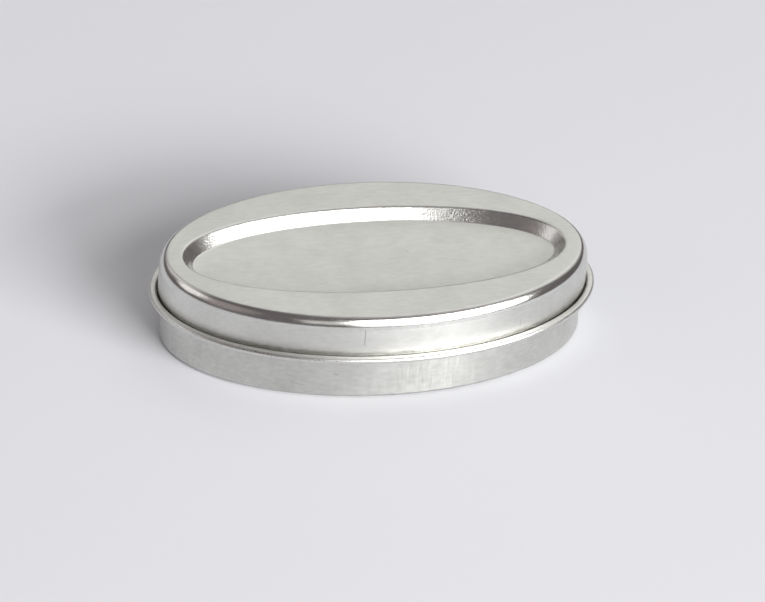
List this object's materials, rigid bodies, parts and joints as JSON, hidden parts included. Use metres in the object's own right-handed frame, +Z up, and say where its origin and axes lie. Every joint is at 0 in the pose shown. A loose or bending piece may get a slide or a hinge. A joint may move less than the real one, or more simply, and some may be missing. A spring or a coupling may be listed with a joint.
{
  "type": "oval slip-lid tin",
  "caption": "Oval slip-lid tin in bare satin tinplate: a shallow drawn base and a lift-off lid with a rounded shoulder, a curled lower edge and a recessed oval panel.",
  "frame": {"origin": "middle of the underside, on the plane that the tin stands on", "axes": "+X along the tin's length, +Y across it, +Z up through the lid"},
  "size_m": [0.1, 0.0576, 0.0214],
  "materials": {
    "base_tinplate": "bare tinplate, satin bright, with a faint rolling grain",
    "lid_tinplate": "bare tinplate, satin bright, smoother and brighter where it is drawn round a bend"
  },
  "bodies": {
    "base": {"tin_base": "base_tinplate"},
    "lid": {"tin_lid": "lid_tinplate"}
  },
  "joints": [
    {"name": "lid_lift", "type": "slide", "parent": "base", "child": "lid", "axis": [0, 0, 1], "range_m": [0, 0.03]}
  ]
}
